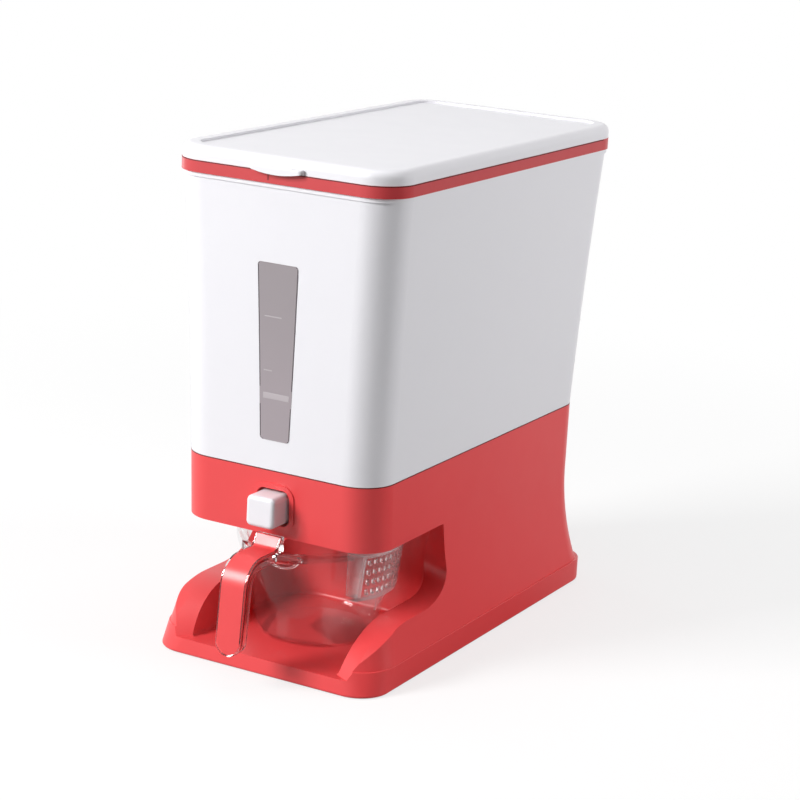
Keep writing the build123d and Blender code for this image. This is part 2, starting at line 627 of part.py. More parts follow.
def make_gate_frame():
    """Guide that the gate slides in, with a collar over the slot, a spout under it and a back wall."""
    low, high = FRAME_LOW, FRAME_HIGH
    wall_front = FRAME_BACK - FRAME_WALL
    side = GATE_HALF + SLIDE_GAP
    frame = block(-FRAME_HALF, FRAME_HALF, FRAME_FRONT, FRAME_BACK, low, high)
    frame -= block(-side, side, FRAME_FRONT, wall_front, GATE_Z - SLIDE_GAP, GATE_Z + GATE_T + SLIDE_GAP)
    frame -= block(-side, side, FRAME_STOP, wall_front, low, high)
    frame += block(-12, 12, wall_front, FRAME_BACK, low - 5, high + 5)
    frame += slot_block(SLOT_HALF_X + 5, SLOT_HALF_Y + 5, high, high + FRAME_COLLAR)
    frame -= slot_block(NECK_HALF_X, NECK_HALF_Y, high, high + FRAME_COLLAR)
    frame += slot_block(SLOT_HALF_X + 2, SLOT_HALF_Y + 2, HEAD_Z + 2 * WALL, low)
    frame -= slot_block(SLOT_HALF_X, SLOT_HALF_Y, HEAD_Z, high)
    for x, y in frame_screw_places():
        inner = FRAME_HALF - 1 if x > 0 else -FRAME_HALF + 1
        frame += block(min(x, inner), max(x, inner), y - BOSS_R, y + BOSS_R, low, low + FRAME_EAR_T)
        frame += post(x, y, low, low + FRAME_EAR_T, BOSS_R)
        frame -= post(x, y, low, low + FRAME_EAR_T, SCREW_R + 0.1)
    return frame - along(ROD_R + ROD_FIT, wall_front, FRAME_BACK, GATE_Z + GATE_T / 2)


def make_frame_screws():
    """The four screws that hold the gate frame."""
    seat = FRAME_LOW + FRAME_EAR_T
    return Compound([post(x, y, seat, seat + SCREW_HEAD, SCREW_HEAD_R) + post(x, y, seat - 9, seat, SCREW_R)
                     for x, y in frame_screw_places()])


def make_gate():
    """Sliding plate with the aperture, a tail that stops on the frame and a tongue for the button."""
    low, high = GATE_Z, GATE_Z + GATE_T
    aperture_y = SLOT_Y - TRAVEL
    tail_back = FRAME_STOP + TAIL_LENGTH
    gate = block(-GATE_HALF, GATE_HALF, GATE_FRONT, FRAME_STOP, low, high)
    gate -= block(-SLOT_HALF_X, SLOT_HALF_X, aperture_y - SLOT_HALF_Y, aperture_y + SLOT_HALF_Y, low, high)
    gate += block(-TONGUE_HALF, TONGUE_HALF, TONGUE_FRONT, GATE_FRONT + 1, low, high)
    gate += block(-TONGUE_HALF, TONGUE_HALF, FRAME_STOP, tail_back, low - TAIL_RISE, high + TAIL_RISE)
    return gate - along(ROD_R, FRAME_STOP + 1, tail_back, GATE_Z + GATE_T / 2)


def make_guide_rod():
    """Steel rod pressed in the gate's tail. It runs through the frame's back wall inside the spring."""
    rod = along(ROD_R, FRAME_STOP + 1, FRAME_BACK + ROD_PAST, GATE_Z + GATE_T / 2)
    return chamfer(rod.edges().filter_by(GeomType.CIRCLE), 0.4)


def make_spring():
    """Return spring between the gate's tail and the frame's back wall."""
    margin = SPRING_WIRE + 0.05
    start = FRAME_STOP + TAIL_LENGTH + margin
    length = FRAME_BACK - FRAME_WALL - margin - start
    path = Helix(pitch=length / SPRING_TURNS, height=length, radius=SPRING_R)
    wire = sweep(Plane(origin=path @ 0, z_dir=path % 0) * Circle(SPRING_WIRE), path, is_frenet=True)
    return Pos(0, start, GATE_Z + GATE_T / 2) * Rot(-90, 0, 0) * wire


def make_chute():
    """Outlet under the head: a flange on the head's floor and a spout over the cup."""
    top = HEAD_Z + 2 * WALL
    flange = slot_block(SLOT_HALF_X + CHUTE_FLANGE, SLOT_HALF_Y + CHUTE_FLANGE, HEAD_Z + WALL, top)

    def spout(extra):
        depth = 2 * (SLOT_HALF_Y + extra)
        upper = Pos(0, SLOT_Y, HEAD_Z + WALL) * Rectangle(2 * (SLOT_HALF_X + extra), depth)
        lower = Pos(0, SLOT_Y, CHUTE_LOW) * Rectangle(2 * (SLOT_HALF_X - SPOUT_IN + extra), depth)
        return loft([lower, upper], ruled=True)
    return flange + spout(SPOUT_WALL) - spout(0) - slot_block(SLOT_HALF_X, SLOT_HALF_Y, HEAD_Z + WALL, top)


def make_button():
    """Push button: a rounded hollow cap with a skirt behind the sleeve and a socket for the tongue."""
    button = button_prism(0, BUTTON_FRONT, BUTTON_BACK)
    front_edges = button.faces().sort_by(Axis.Y)[0].edges()
    button = fillet(front_edges, BUTTON_EDGE)
    skirt_back = BUTTON_BACK + BUTTON_SKIRT_T
    button += button_prism(SLEEVE_GAP + 3, BUTTON_BACK, skirt_back)
    button -= button_prism(-WALL, BUTTON_FRONT + WALL, skirt_back)
    low, high = GATE_Z, GATE_Z + GATE_T
    socket = block(-TONGUE_HALF - 2, TONGUE_HALF + 2, BUTTON_FRONT + 2, BUTTON_BACK, low - 2, high + 2)
    button += socket & button_prism(-1, BUTTON_FRONT + 1, BUTTON_BACK)
    tongue = block(-TONGUE_HALF - 0.1, TONGUE_HALF + 0.1, TONGUE_FRONT, BUTTON_BACK, low - 0.05, high + 0.05)
    return button - tongue


def cup_profile(inset):
    """Half section of the bowl: foot, rounded heel, flared wall and rim band."""
    foot = TRAY_Z + inset
    heel = (CUP_LOW_R - inset, CUP_HEEL_Z)
    turn = (CUP_LOW_R - 2.4 - inset, TRAY_Z + 2.6 + 0.8 * inset)
    shoulder = (CUP_HIGH_R - inset, CUP_RIM_LOW + inset / 2)
    band = (CUP_RIM_R - inset, CUP_RIM_LOW + 2 + inset)
    rim = (CUP_RIM_R - inset, CUP_RIM_HIGH)
    with BuildSketch(Plane.XZ) as sketch:
        with BuildLine():
            Line((0, foot), (CUP_FOOT_R, foot))
            ThreePointArc((CUP_FOOT_R, foot), turn, heel)
            Spline([heel, (CUP_MID_R - inset, CUP_MID_Z), shoulder], tangents=[(0.05, 1), (0.3, 1)])
            Line(shoulder, band)
            Line(band, rim)
            Line(rim, (0, CUP_RIM_HIGH))
            Line((0, CUP_RIM_HIGH), (0, foot))
        make_face()
    return Pos(0, CUP_Y, 0) * revolve(sketch.sketch, Axis.Z)


def beak(inset, low, high):
    """Rim plate that reaches from the bowl forward to the handle's root."""
    radius = CUP_RIM_R - inset
    root = ROOT_Y + inset
    half = HANDLE_HALF - inset
    reach = CUP_Y - root
    turn = radians(36 if inset == 0 else 36.5)
    side = (half + 0.30 * reach, CUP_Y - 0.74 * reach)
    touch = (radius * cos(turn), CUP_Y - radius * sin(turn))
    with BuildSketch(Plane.XY.offset(low)) as sketch:
        with BuildLine():
            Line((-half, root), (half, root))
            Spline([(half, root), side, touch], tangents=[(0.9, 0.55), (sin(turn), cos(turn))])
            Line(touch, (0, CUP_Y))
            Line((0, CUP_Y), (-touch[0], touch[1]))
            Spline([(-touch[0], touch[1]), (-side[0], side[1]), (-half, root)],
                   tangents=[(sin(turn), -cos(turn)), (0.9, -0.55)])
        make_face()
    return extrude(sketch.sketch, high - low)


def pod(inset, low, high):
    """Box at the cup's side that carries the strainer. Its round outer wall draws in downwards."""
    radius = CUP_RIM_R - inset
    height = CUP_RIM_LOW - POD_Z
    drum = Pos(0, CUP_Y, POD_Z + height / 2) * Cone(radius - POD_DRAFT, radius, height)
    drum += post(0, CUP_Y, CUP_RIM_LOW, CUP_RIM_HIGH, radius)
    return drum & block(POD_IN, CUP_RIM_R, CUP_Y - POD_HALF + inset, CUP_Y + POD_HALF - inset, low, high)


def handle_side(depth0, depth1):
    """Side view of a layer of the handle, between two depths in from its outer face."""
    def trace(depth):
        points = [(HANDLE_BACK + depth, HANDLE_LIP), (HANDLE_BACK - LIP_LEAN + depth, HANDLE_TOP - depth),
                  (HANDLE_FRONT_HIGH + depth, HANDLE_TOP - depth), (HANDLE_FRONT_LOW + depth, HANDLE_LOW)]
        return points, [LIP_BEND + depth, HANDLE_BEND - depth]
    outer, outer_r = trace(depth0)
    inner, inner_r = trace(depth1)
    with BuildSketch(Plane.YZ) as sketch:
        with BuildLine():
            FilletPolyline(*outer, radius=outer_r)
            Line(outer[-1], inner[-1])
            FilletPolyline(*inner, radius=inner_r)
            Line(inner[0], outer[0])
        make_face()
    return sketch.sketch


def handle_layer(depth0, depth1, half):
    """A layer of the handle across its width, rounded at its lower end."""
    slab = extrude(handle_side(depth0, depth1), half, both=True)
    centre = HANDLE_LOW + HANDLE_HALF
    height = HANDLE_LIP + 20 - centre
    with BuildSketch(Plane.XZ.offset(-HEAD_FRONT)) as sketch:
        with Locations((0, centre)):
            Circle(half)
        with Locations((0, centre + height / 2)):
            Rectangle(2 * half, height)
    return slab & extrude(sketch.sketch, HEAD_FRONT - HANDLE_FRONT_LOW + 20)


def strainer_opening(grow):
    """The opening in the pod's outer wall that the strainer sits in."""
    half = POD_HALF - STRAINER_EDGE + grow
    return block(POD_IN + 10, CUP_RIM_R + 10, CUP_Y - half, CUP_Y + half,
                 POD_Z + STRAINER_FOOT - grow, CUP_RIM_LOW + grow)


def make_cup():
    """Clear cup: bowl, rim reaching to the handle, pod with the strainer's opening, handle frame."""
    plate = beak(0, CUP_RIM_LOW, CUP_RIM_HIGH)
    handle = handle_layer(0, HANDLE_DEPTH, HANDLE_HALF)
    handle -= block(-20, 20, HANDLE_BACK + GRIP_T + 2, CUP_Y, CUP_RIM_HIGH, HANDLE_LIP + 5)
    cup = cup_profile(0) + pod(0, POD_Z, CUP_RIM_HIGH) + plate + handle
    channel = handle_layer(GRIP_T + 2.0, HANDLE_DEPTH, HANDLE_HALF - 2.2)
    cup -= channel - plate - block(-20, 20, HANDLE_BACK, CUP_Y, 0, HANDLE_LIP + 5)
    cup -= handle_layer(0, GRIP_T, GRIP_HALF)
    cup -= cup_profile(CUP_WALL)
    cup -= pod(POD_WALL, POD_Z + CUP_WALL, CUP_RIM_HIGH)
    cup -= beak(CUP_WALL, CUP_RIM_LOW + CUP_WALL, CUP_RIM_HIGH)
    return cup - strainer_opening(0)


def make_cup_grip():
    """Red strip set in the handle's face, from the turned-up thumb rest to the rounded tip."""
    return handle_layer(0, GRIP_T, GRIP_HALF)


def make_strainer():
    """Curved strainer plate: rows of upright holes in a panel that snaps in the pod."""
    layer = pod(0, POD_Z, CUP_RIM_HIGH) - pod(POD_WALL, POD_Z, CUP_RIM_HIGH)
    flange_top = CUP_RIM_LOW + STRAINER_LAP
    flange = pod(POD_WALL, POD_Z + CUP_WALL, flange_top) - pod(POD_WALL + 1.2, POD_Z, CUP_RIM_HIGH)
    panel = (layer & strainer_opening(0)) + (flange & strainer_opening(STRAINER_LAP))
    hole = Pos(CUP_RIM_R - 8, 0, 0) * Rot(0, 90, 0) * extrude(SlotOverall(HOLE_H, HOLE_W), 12)
    low = POD_Z + STRAINER_FOOT
    pitch = (CUP_RIM_LOW - low) / STRAINER_ROWS
    for turn in spread(-STRAINER_SPAN / 2, STRAINER_SPAN / 2, STRAINER_COLUMNS - 1):
        for row in range(STRAINER_ROWS):
            panel -= Pos(0, CUP_Y, low + pitch * (row + 0.5)) * Rot(0, 0, turn) * hole
    return panel


def make_pad():
    """Round anti-slip pad, level with the underside of the bottom cover."""
    return Pos(0, 0, PAD_T / 2) * Cylinder(PAD_R, PAD_T)


def build():
    """Every node's solid by name."""
    parts = {
        "base": make_base(),
        "base_plate": make_base_plate(),
        "plate_screws": make_plate_screws(),
        "tank": make_tank(),
        "window": make_window(),
        "collar": make_collar(),
        "lid": make_lid(),
        "lid_seal": make_lid_seal(),
        "hinge_pins": make_hinge_pins(),
        "hopper": make_hopper(),
        "hopper_seal": make_hopper_seal(),
        "gate_frame": make_gate_frame(),
        "frame_screws": make_frame_screws(),
        "gate": make_gate(),
        "guide_rod": make_guide_rod(),
        "return_spring": make_spring(),
        "chute": make_chute(),
        "button": make_button(),
        "cup": make_cup(),
        "cup_grip": make_cup_grip(),
        "cup_strainer": make_strainer(),
    }
    for number, (x, y) in enumerate(pad_places(), 1):
        parts[f"pad_{number}"] = Pos(x, y, 0) * make_pad()
    return parts


os.makedirs("parts", exist_ok=True)
for node, shape in build().items():
    export_step(shape, f"parts/{node}.step")
    print(node, round(shape.volume / 1000, 1), "cm3", len(shape.solids()), "solid(s)")
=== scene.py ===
# %% [markdown]
# # A rice dispenser, dressed for a studio photograph
#
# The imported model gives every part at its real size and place. This lesson gives the parts their
# finishes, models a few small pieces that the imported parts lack, and sets the light and the camera
# as in a product photograph.

# %% Load the frame
import json
from math import cos, radians, sin

import bmesh
import bpy
from mathutils import Matrix, Vector


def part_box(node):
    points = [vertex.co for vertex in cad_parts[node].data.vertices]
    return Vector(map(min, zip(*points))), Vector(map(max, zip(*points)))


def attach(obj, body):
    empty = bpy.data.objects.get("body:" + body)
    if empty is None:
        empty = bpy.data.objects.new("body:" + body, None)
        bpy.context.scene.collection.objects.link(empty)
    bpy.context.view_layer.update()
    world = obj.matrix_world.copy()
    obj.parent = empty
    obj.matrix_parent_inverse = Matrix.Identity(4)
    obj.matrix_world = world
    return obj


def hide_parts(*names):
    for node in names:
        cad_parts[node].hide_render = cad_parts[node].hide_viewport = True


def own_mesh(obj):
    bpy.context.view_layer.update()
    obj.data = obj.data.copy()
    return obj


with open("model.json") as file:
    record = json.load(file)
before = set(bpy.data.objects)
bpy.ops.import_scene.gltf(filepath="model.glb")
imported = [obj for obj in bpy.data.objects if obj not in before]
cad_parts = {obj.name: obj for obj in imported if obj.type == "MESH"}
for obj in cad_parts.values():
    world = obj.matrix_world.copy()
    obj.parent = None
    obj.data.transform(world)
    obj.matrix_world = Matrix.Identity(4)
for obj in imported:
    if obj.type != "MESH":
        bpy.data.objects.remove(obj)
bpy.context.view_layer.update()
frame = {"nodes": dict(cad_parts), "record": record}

MM = 0.001
nodes = frame["nodes"]
bpy.ops.object.select_all(action="DESELECT")
print("parts in the frame:", len(nodes))

# %% [markdown]
# ## Finishes
#
# Most of the dispenser is moulded plastic, which is never one flat colour. It has a faint
# orange-peel ripple, a little variation in gloss where it has been handled, and slightly soft
# highlights. All that could be painted on an image and wrapped round each part. A few nodes on the
# part's own Object coordinates do it here, because they show no seams and do not slide when a part
# moves.


# %% Helpers that start a material
def new_material(name):
    """A material, its nodes, its shader and the part's own coordinates."""
    material = bpy.data.materials.new(name)
    material.use_nodes = True
    tree = material.node_tree
    shader = tree.nodes["Principled BSDF"]
    coords = tree.nodes.new("ShaderNodeTexCoord")
    return material, tree, shader, coords


def add_noise(tree, coords, scale, detail=3.0):
    """Soft random spots. A larger scale makes them finer."""
    noise = tree.nodes.new("ShaderNodeTexNoise")
    noise.inputs["Scale"].default_value = scale
    noise.inputs["Detail"].default_value = detail
    tree.links.new(coords.outputs["Object"], noise.inputs["Vector"])
    return noise


NOISE_LOW, NOISE_HIGH = 0.3, 0.7   # nearly all of a noise lies between these


def add_ramp(tree, source, low, high):
    """Squeezes a noise into a narrow range of values."""
    ramp = tree.nodes.new("ShaderNodeMapRange")
    ramp.inputs["From Min"].default_value = NOISE_LOW
    ramp.inputs["From Max"].default_value = NOISE_HIGH
    ramp.inputs["To Min"].default_value = low
    ramp.inputs["To Max"].default_value = high
    tree.links.new(source.outputs["Fac"], ramp.inputs["Value"])
    return ramp.outputs["Result"]


# %% Helpers that join values
def mix_colours(tree, share, first, second):
    """Blends two colours. share is 0 for the first and 1 for the second."""
    mix = tree.nodes.new("ShaderNodeMix")
    mix.data_type = "RGBA"
    mix.inputs["A"].default_value = (*first, 1)
    mix.inputs["B"].default_value = (*second, 1)
    tree.links.new(share, mix.inputs["Factor"])
    return mix.outputs["Result"]


def math_node(tree, operation, first, second):
    """A maths node whose inputs are other nodes' values or plain numbers."""
    node = tree.nodes.new("ShaderNodeMath")
    node.operation = operation
    for place, value in enumerate((first, second)):
        if isinstance(value, (int, float)):
            node.inputs[place].default_value = value
        else:
            tree.links.new(value, node.inputs[place])
    return node.outputs["Value"]


def spread_range(tree, value, low, high, to_low, to_high):
    """Turns the values low to high into to_low to to_high, softly and with no overshoot."""
    node = tree.nodes.new("ShaderNodeMapRange")
    node.interpolation_type = "SMOOTHSTEP"
    node.inputs["From Min"].default_value = low
    node.inputs["From Max"].default_value = high
    node.inputs["To Min"].default_value = to_low
    node.inputs["To Max"].default_value = to_high
    tree.links.new(value, node.inputs["Value"])
    return node.outputs["Result"]


# %% Moulded plastic
RIPPLE_DEPTH = 0.4 * MM
GLOSS_LOW, GLOSS_HIGH = 0.92, 1.08   # how far the roughness varies, as a share of itself


def moulded(name, colour, darker, roughness, ripple=0.02):
    """Moulded plastic: two close colours, soft gloss variation and a faint ripple."""
    material, tree, shader, coords = new_material(name)
    tone = add_noise(tree, coords, scale=9.0).outputs["Fac"]
    tree.links.new(mix_colours(tree, tone, colour, darker), shader.inputs["Base Color"])
    handled = add_noise(tree, coords, scale=45.0)
    gloss = add_ramp(tree, handled, roughness * GLOSS_LOW, roughness * GLOSS_HIGH)
    tree.links.new(gloss, shader.inputs["Roughness"])
    bump = tree.nodes.new("ShaderNodeBump")
    bump.inputs["Strength"].default_value = ripple
    bump.inputs["Distance"].default_value = RIPPLE_DEPTH
    orange_peel = add_noise(tree, coords, scale=900.0, detail=1.0)
    tree.links.new(orange_peel.outputs["Fac"], bump.inputs["Height"])
    tree.links.new(bump.outputs["Normal"], shader.inputs["Normal"])
    return material


red = moulded("red_plastic", (0.760, 0.064, 0.068), (0.735, 0.058, 0.062), 0.34)
band_red = moulded("band_red", (0.545, 0.052, 0.058), (0.515, 0.046, 0.052), 0.36)
white = moulded("white_plastic", (0.765, 0.757, 0.79), (0.75, 0.742, 0.775), 0.38)
grey = moulded("grey_plastic", (0.28, 0.28, 0.30), (0.24, 0.24, 0.26), 0.5)
rubber = moulded("pad_rubber", (0.03, 0.03, 0.03), (0.02, 0.02, 0.02), 0.8, ripple=0.1)
seal = moulded("seal_rubber", (0.62, 0.62, 0.62), (0.58, 0.58, 0.58), 0.6)
print("moulded finishes:", [finish.name for finish in (red, band_red, white, grey, rubber, seal)])

# %% [markdown]
# ### Steel
#
# The screws, the pins, the rod and the spring are bright steel. A metal has nothing under its
# surface, so its look is all reflection: one colour for the mirror, and a roughness that varies in
# fine spots so that it is not a perfect one. Brushed lines would be finer still, but they need a
# direction, and these parts are too small to show one.


# %% Bright steel
def bright_steel():
    """A metal that reflects a little unevenly."""
    material, tree, shader, coords = new_material("bright_steel")
    shader.inputs["Base Color"].default_value = (0.62, 0.62, 0.64, 1)
    shader.inputs["Metallic"].default_value = 1.0
    gloss = add_ramp(tree, add_noise(tree, coords, scale=700.0), 0.22, 0.34)
    tree.links.new(gloss, shader.inputs["Roughness"])
    return material


steel = bright_steel()
print("metal finish:", steel.name)

# %% [markdown]
# ### Clear plastic
#
# The cup is clear plastic with thin walls and a thick handle, and its strainer is slightly milky.
# One glass all over would bend light in the thin walls as in a solid block, and look dark. So a
# thin wall lets light straight through under a mirror that grows at a slant, and only the thick
# places are glass. A share of pale film makes the haze. Light from the lamps passes freely, since a
# path tracer seldom finds a small lamp through glass.


# %% Helpers for clear plastic
def mix_shaders(tree, share, first, second):
    """Blends two shaders. share is 0 for the first and 1 for the second."""
    mix = tree.nodes.new("ShaderNodeMixShader")
    if isinstance(share, (int, float)):
        mix.inputs["Fac"].default_value = share
    else:
        tree.links.new(share, mix.inputs["Fac"])
    tree.links.new(first, mix.inputs[1])
    tree.links.new(second, mix.inputs[2])
    return mix.outputs["Shader"]


def see_through(tree, colour):
    """Lets light straight through, tinted by the colour."""
    shader = tree.nodes.new("ShaderNodeBsdfTransparent")
    shader.inputs["Color"].default_value = (*colour, 1)
    return shader.outputs["BSDF"]


def thin_wall(tree):
    """A thin clear wall: straight through, and a mirror that grows towards a slant."""
    mirror = tree.nodes.new("ShaderNodeBsdfPrincipled")
    mirror.inputs["Base Color"].default_value = (1, 1, 1, 1)
    mirror.inputs["Metallic"].default_value = 1.0
    mirror.inputs["Roughness"].default_value = 0.04
    slant = tree.nodes.new("ShaderNodeFresnel")
    slant.inputs["IOR"].default_value = 1.38
    side = tree.nodes.new("ShaderNodeNewGeometry")
    outside = math_node(tree, "SUBTRACT", 1.0, side.outputs["Backfacing"])
    share = math_node(tree, "MULTIPLY", slant.outputs["Fac"], outside)
    return mix_shaders(tree, share, see_through(tree, (0.99, 0.985, 0.985)), mirror.outputs["BSDF"])


# %% Clear plastic
POD_BEGINS, POD_FULL = 44 * MM, 52 * MM   # the strainer's pod, outwards from the bowl
CLOUD_LOW, CLOUD_HIGH = 0.8, 1.2          # how far the haze varies, as a share of itself


def clear_plastic(name, haze, pod_haze, bends):
    """Clear plastic. bends(tree, place) is 1 where it is thick and bends light, 0 on thin walls.
    haze and pod_haze are its whiteness on the bowl and out on the strainer's pod."""
    material, tree, glass, coords = new_material(name)
    place = tree.nodes.new("ShaderNodeSeparateXYZ")
    tree.links.new(coords.outputs["Object"], place.inputs["Vector"])
    glass.inputs["Base Color"].default_value = (1.0, 0.995, 0.995, 1)
    glass.inputs["Transmission Weight"].default_value = 1.0
    glass.inputs["IOR"].default_value = 1.44
    gloss = add_ramp(tree, add_noise(tree, coords, scale=60.0), 0.02, 0.06)
    tree.links.new(gloss, glass.inputs["Roughness"])
    clear_part = mix_shaders(tree, bends(tree, place), thin_wall(tree), glass.outputs["BSDF"])

    film = tree.nodes.new("ShaderNodeBsdfPrincipled")
    film.inputs["Base Color"].default_value = (0.96, 0.85, 0.86, 1)
    film.inputs["Roughness"].default_value = 0.3
    out_on_pod = spread_range(tree, place.outputs["X"], POD_BEGINS, POD_FULL, haze, pod_haze)
    cloud = spread_range(tree, add_noise(tree, coords, scale=35.0).outputs["Fac"],
                         NOISE_LOW, NOISE_HIGH, CLOUD_LOW, CLOUD_HIGH)
    film_share = math_node(tree, "MULTIPLY", out_on_pod, cloud)
    hazy = mix_shaders(tree, film_share, clear_part, film.outputs["BSDF"])

    path = tree.nodes.new("ShaderNodeLightPath")
    lamp_ray = math_node(tree, "MAXIMUM", path.outputs["Is Shadow Ray"],
                         path.outputs["Is Diffuse Ray"])
    lets_lamps_in = mix_shaders(tree, lamp_ray, hazy, see_through(tree, (0.98, 0.97, 0.97)))
    tree.links.new(lets_lamps_in, tree.nodes["Material Output"].inputs["Surface"])
    return material


# %% The cup's plastic and the strainer's
HANDLE_FULL, HANDLE_ENDS = -164 * MM, -161 * MM   # the thick handle, inwards to the thin bowl


def thick_handle(tree, place):
    """1 in the handle, 0 in the bowl behind it."""
    return spread_range(tree, place.outputs["Y"], HANDLE_FULL, HANDLE_ENDS, 1.0, 0.0)


def thick_all_over(tree, place):
    """Thick wherever it is, so it asks for neither the nodes nor the place."""
    return 1.0


clear = clear_plastic("clear_plastic", 0.006, 0.22, thick_handle)
milky = clear_plastic("strainer_plastic", 0.06, 0.06, thick_all_over)
print("clear finishes:", clear.name, "and", milky.name)

# %% [markdown]
# ### Smoke-grey plastic
#
# The window is translucent, but the photograph shows no rice, only a warm grey that is a little
# lighter below. Real translucency needs many samples and left speckles, so this is a solid colour
# that changes with height, and as glossy as the photograph shows it.

# %% Smoke-grey plastic
SMOKE_LOW, SMOKE_HIGH = 180 * MM, 290 * MM   # the colour changes between these heights


def smoke_plastic():
    """Window plastic: a warm grey, a little lighter below."""
    material, tree, shader, coords = new_material("smoke_plastic")
    place = tree.nodes.new("ShaderNodeSeparateXYZ")
    tree.links.new(coords.outputs["Object"], place.inputs["Vector"])
    height = spread_range(tree, place.outputs["Z"], SMOKE_LOW, SMOKE_HIGH, 0.0, 1.0)
    tint = mix_colours(tree, height, (0.335, 0.292, 0.312), (0.300, 0.268, 0.282))
    tree.links.new(tint, shader.inputs["Base Color"])
    shader.inputs["IOR"].default_value = 1.45
    gloss = add_ramp(tree, add_noise(tree, coords, scale=25.0), 0.295, 0.305)
    tree.links.new(gloss, shader.inputs["Roughness"])
    return material


smoke = smoke_plastic()
print("window finish:", smoke.name)

# %% Give each part its finish
FINISH = {
    "red_plastic": red, "white_plastic": white, "grey_plastic": grey, "dark_rubber": rubber,
    "soft_seal": seal, "steel": steel, "clear_plastic": clear, "smoke_plastic": smoke,
}
slot_of = {entry["node"]: entry["material_slot"] for entry in frame["record"]["subparts"]}


def give_finish(piece, material):
    """Puts one material on a whole piece."""
    piece.data.materials.clear()
    piece.data.materials.append(material)


for name, node in nodes.items():
    give_finish(node, FINISH[slot_of[name]])
give_finish(nodes["cup_strainer"], milky)
give_finish(nodes["collar"], band_red)      # the photograph's band is a deeper red
print("parts with a finish:", len(nodes))

# %% [markdown]
# ## Working by hand, in code
#
# In the viewport one selects something, then presses a key. The same two steps work in a script:
# pick() selects what passes a test, and the operator that follows acts on what is selected.


# %% Pick on a piece
def pick(piece, kind, chosen):
    """In edit mode, selects the vertices, edges or faces that a test picks. Returns how many."""
    bpy.ops.mesh.select_all(action="DESELECT")
    bpy.ops.mesh.select_mode(type=kind)
    mesh = bmesh.from_edit_mesh(piece.data)
    parts = {"VERT": mesh.verts, "EDGE": mesh.edges, "FACE": mesh.faces}[kind]
    found = [part for part in parts if chosen(part)]
    for part in found:
        part.select_set(True)
    bmesh.update_edit_mesh(piece.data)
    return len(found)


Y, Z = 1, 2                        # the axes' places in a vertex's coordinates


def runs(edge, axis, length):
    """Whether an edge runs further than this along an axis."""
    first, second = edge.verts
    return abs(first.co[axis] - second.co[axis]) > length


def faces_front(face):
    """Whether a face looks forward."""
    return face.normal.y < -0.9


# %% Make, cut and slide
def block(name, low, high):
    """A cube between two corners, ready for edit mode."""
    middle = [(a + b) / 2 for a, b in zip(low, high)]
    size = [b - a for a, b in zip(low, high)]
    bpy.ops.object.select_all(action="DESELECT")
    bpy.ops.mesh.primitive_cube_add(size=1, location=middle, scale=size)
    piece = bpy.context.object
    piece.name = name
    bpy.ops.object.transform_apply(location=True, rotation=True, scale=True)
    return piece


def cut_across(height):
    """Cuts the piece in edit mode all round at a height."""
    bpy.ops.mesh.select_all(action="SELECT")
    bpy.ops.mesh.bisect(plane_co=(0, 0, height), plane_no=(0, 0, 1))


def follow(piece, moves):
    """Slides the vertices level by level, so that a flat piece follows a curved wall.
    moves(place) gives a vertex's level, and how far the whole level slides."""
    mesh = bmesh.from_edit_mesh(piece.data)
    levels = {}
    for vertex in mesh.verts:
        level, slide = moves(vertex.co)
        levels[level] = slide
    for level, slide in levels.items():
        pick(piece, "VERT", lambda vertex: moves(vertex.co)[0] == level)
        bpy.ops.transform.translate(value=slide)
    return len(levels)


# %% [markdown]
# ## The window
#
# A tall smoke-grey window shows how much rice is left. It is a little taller than the opening in
# the wall behind it, and its edge is a thin darker bead. A curved surface could be drawn through
# the wall's outline, but a cube is simpler: it is tapered, its corners are rounded, its face is
# inset to leave the bead, and it is cut across so that it can follow the tank's curved front. Rays
# shot at the tank measure where that front is.

# %% Measure the tank's front
tank = nodes["tank"]
WINDOW_LOW, WINDOW_HIGH = 171.2 * MM, 298.5 * MM
BESIDE_WINDOW = 22 * MM
OUTSIDE = 1.0                      # rays start a metre out


def first_hit(piece, start, direction):
    """Where a ray first meets a piece. The place is the second thing that ray_cast gives."""
    return piece.ray_cast(start, direction)[1]


def tank_front(z):
    """How far forward the tank's front wall stands at a height."""
    return first_hit(tank, (BESIDE_WINDOW, -OUTSIDE, z), (0, 1, 0)).y


for z in (WINDOW_LOW, WINDOW_HIGH):
    print(f"tank front at {z / MM:.1f} mm: {tank_front(z) / MM:.1f} mm")

# %% Block out the pane
PANE_T = 0.22 * MM                 # it stands this proud of the wall
PANE_BACK = 0.02 * MM              # and its back this much, so it does not touch
PANE_CORNER = 2.5 * MM
LOW_HALF, HIGH_HALF = 12.0 * MM, 16.5 * MM
flat_y = tank_front(WINDOW_LOW)
pane = block("window_pane", (-LOW_HALF, flat_y - PANE_T, WINDOW_LOW),
             (LOW_HALF, flat_y - PANE_BACK, WINDOW_HIGH))
bpy.ops.object.mode_set(mode="EDIT")
pick(pane, "VERT", lambda v: v.co.z > WINDOW_HIGH - MM)
bpy.ops.transform.resize(value=(HIGH_HALF / LOW_HALF, 1, 1))
corners = pick(pane, "EDGE", lambda e: runs(e, Y, PANE_T / 2))
bpy.ops.mesh.bevel(offset=PANE_CORNER, segments=6, affect="EDGES")
print("rounded corners:", corners)

